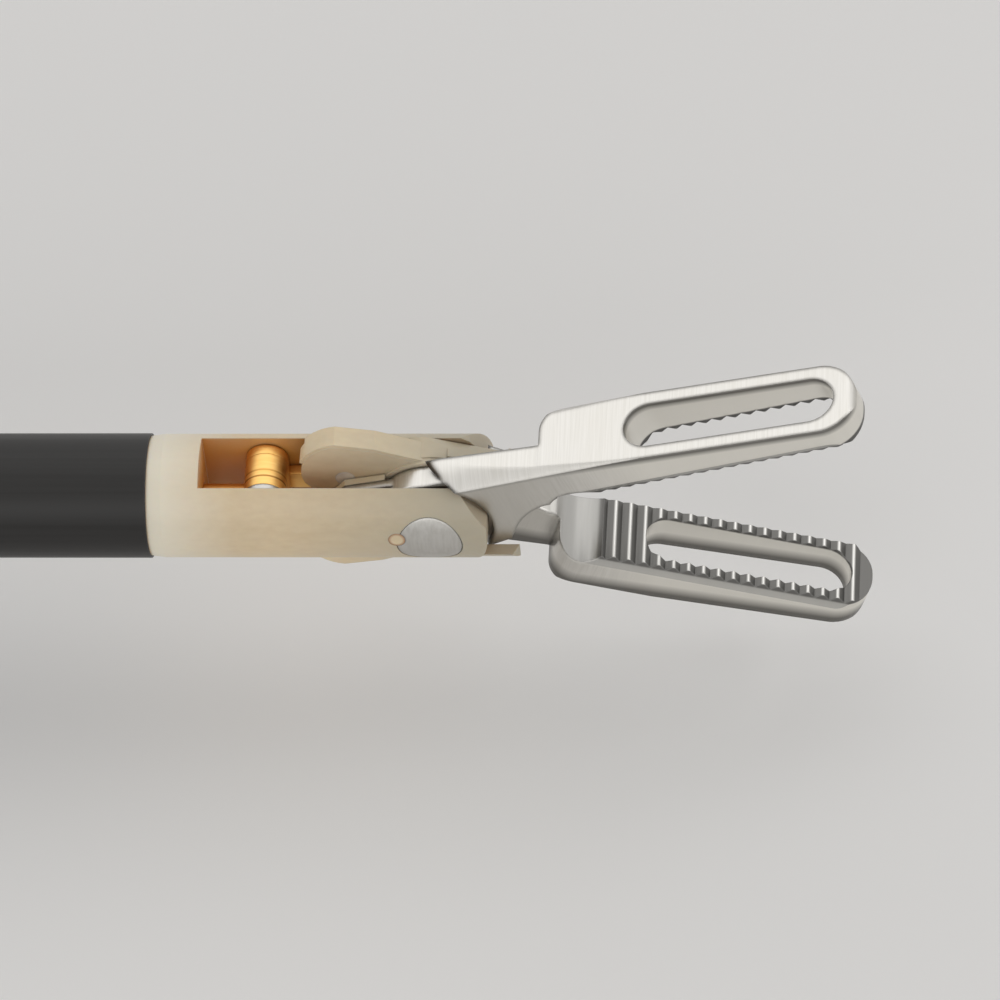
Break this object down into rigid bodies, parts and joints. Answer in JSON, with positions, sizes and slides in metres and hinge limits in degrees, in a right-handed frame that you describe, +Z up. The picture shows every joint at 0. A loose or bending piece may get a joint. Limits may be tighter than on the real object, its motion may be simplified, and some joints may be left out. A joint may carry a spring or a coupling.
{
  "type": "laparoscopic grasper",
  "caption": "Hand instrument for keyhole surgery: ring handle, rotating insulated shaft and double-action fenestrated gripping jaws driven by a cam linkage.",
  "frame": {"origin": "on the shaft axis at the front face of the rotation wheel's nose, where the working length starts", "axes": "+X along the shaft towards the jaws, +Z up out of the handle plane as the instrument lies on its side, +Y from the finger rings towards the shaft"},
  "size_m": [0.4447, 0.1014, 0.0204],
  "materials": {
    "satin_steel": "satin, fine brushing, brighter on the outer faces",
    "steel_hardware": "turned and polished steel",
    "ivory_polymer": "ivory, slightly translucent moulded insulator",
    "brass": "warm satin brass with fine machining lines",
    "black_insulation": "charcoal satin sleeve",
    "white_polymer": "white low-friction bearing polymer",
    "clear_silicone": "translucent silicone",
    "handle_polymer": "fine spark-eroded matt black polymer",
    "wheel_polymer": "fine matt dark grey polymer",
    "button_polymer": "satin grey polymer",
    "gold_contact": "gold-plated contact",
    "spring_steel": "bright spring wire"
  },
  "bodies": {
    "root": {"right_shell": "handle_polymer", "left_shell": "handle_polymer", "housing_screws": "steel_hardware", "fixed_handle": "handle_polymer", "front_bearing": "white_polymer", "rear_bearing": "white_polymer", "lever_pivot_screw": "steel_hardware", "lever_bush": "white_polymer", "connector_block": "button_polymer", "contact_pins": "gold_contact", "contact_strips": "gold_contact"},
    "shaft": {"rotation_wheel": "wheel_polymer", "sheath_hub": "steel_hardware", "retaining_clip": "spring_steel", "sheath_tube": "steel_hardware", "sheath_insulation": "black_insulation", "clevis": "ivory_polymer", "pivot_pin": "steel_hardware", "pivot_dowel": "ivory_polymer", "rod_guides": "white_polymer", "rod_seal": "clear_silicone"},
    "rod": {"push_rod": "brass", "rod_insulation": "white_polymer", "rod_ball": "steel_hardware", "crosshead": "brass", "near_drive_link": "steel_hardware", "far_drive_link": "brass", "cam_pins": "steel_hardware", "crosshead_rivets": "steel_hardware"},
    "upper_jaw": {"jaw_upper": "satin_steel", "upper_lever_cover": "ivory_polymer", "upper_lever_rivet": "steel_hardware"},
    "lower_jaw": {"jaw_lower": "satin_steel", "lower_lever_cover": "ivory_polymer", "lower_lever_rivet": "steel_hardware"},
    "lever": {"thumb_lever": "handle_polymer"},
    "release": {"release_button": "button_polymer", "latch_frame": "steel_hardware", "release_spring": "spring_steel"}
  },
  "joints": [
    {"name": "shaft_rotation", "type": "hinge", "parent": "root", "child": "shaft", "pos_m": [0, 0, 0], "axis": [1, 0, 0], "continuous": true},
    {"name": "thumb_lever", "type": "hinge", "parent": "root", "child": "lever", "pos_m": [-0.058, -0.0056, 0], "axis": [0, 0, 1], "range_deg": [-7.6, 10.29]},
    {"name": "rod_slide", "type": "slide", "parent": "shaft", "child": "rod", "axis": [1, 0, 0], "range_m": [-0.00102, 0.00075]},
    {"name": "jaw_upper", "type": "hinge", "parent": "shaft", "child": "upper_jaw", "pos_m": [0.31175, 0, 0], "axis": [0, 1, 0], "range_deg": [-12.75, 17.26]},
    {"name": "jaw_lower", "type": "hinge", "parent": "shaft", "child": "lower_jaw", "pos_m": [0.31175, 0, 0], "axis": [0, 1, 0], "range_deg": [-17.26, 12.75]},
    {"name": "release_button", "type": "slide", "parent": "root", "child": "release", "axis": [0, -1, 0], "range_m": [0, 0.002], "stiffness_N_per_m": 600, "springref_m": -0.001, "deforming": ["release_spring"]}
  ],
  "couplings": [
    {"joint": "rod_slide", "follows": "thumb_lever", "m_per_rad": -0.0056},
    {"joint": "jaw_upper", "follows": "thumb_lever", "ratio": 1.6755},
    {"joint": "jaw_lower", "follows": "thumb_lever", "ratio": -1.6755}
  ]
}
